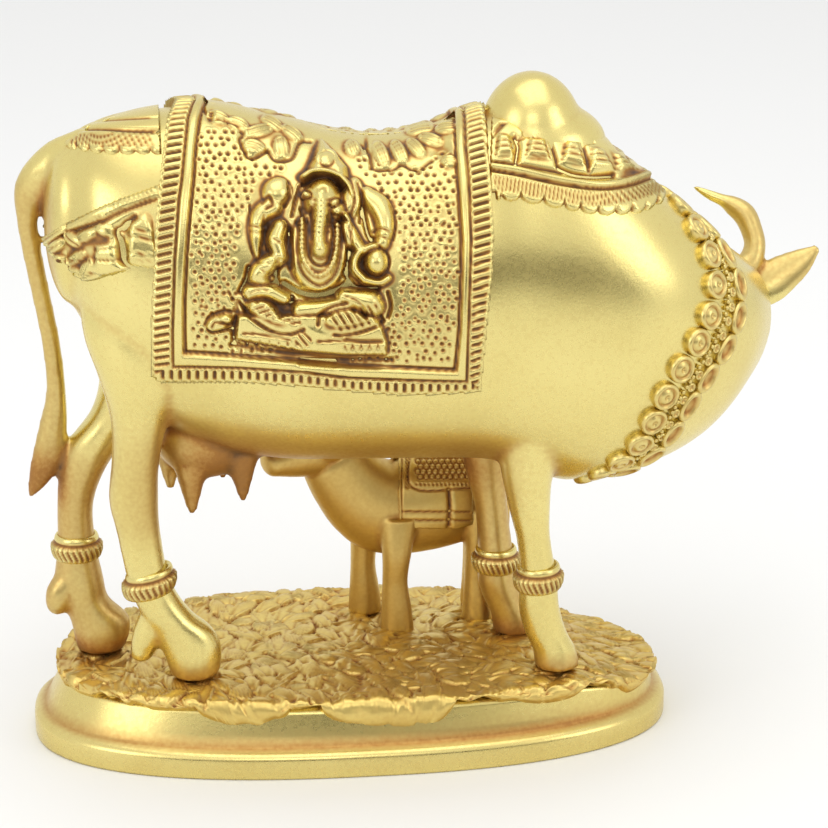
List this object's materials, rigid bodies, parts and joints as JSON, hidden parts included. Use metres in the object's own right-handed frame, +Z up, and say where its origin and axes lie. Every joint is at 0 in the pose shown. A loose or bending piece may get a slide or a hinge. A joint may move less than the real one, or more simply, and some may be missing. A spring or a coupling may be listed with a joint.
{
  "type": "cow and calf statuette",
  "caption": "Cast brass cow with a draped back and neck garland, head turned aside, suckling a calf on an oval grassy mound.",
  "frame": {"origin": "centre of the flat underside of the oval foot, on the surface it stands on", "axes": "+X along the foot's length towards the cow's chest, +Z up, -Y out of the side that carries the seated figure"},
  "size_m": [0.2025, 0.1059, 0.1672],
  "materials": {
    "mound_brass": "polished wall and foot, turf with brown lacquer left in the grooves",
    "cow_brass": "polished skin, relief with brown lacquer left in the grooves",
    "calf_brass": "duller brass with brown lacquer left in the grooves"
  },
  "bodies": {
    "root": {"mound": "mound_brass", "cow": "cow_brass", "calf": "calf_brass"}
  },
  "joints": []
}
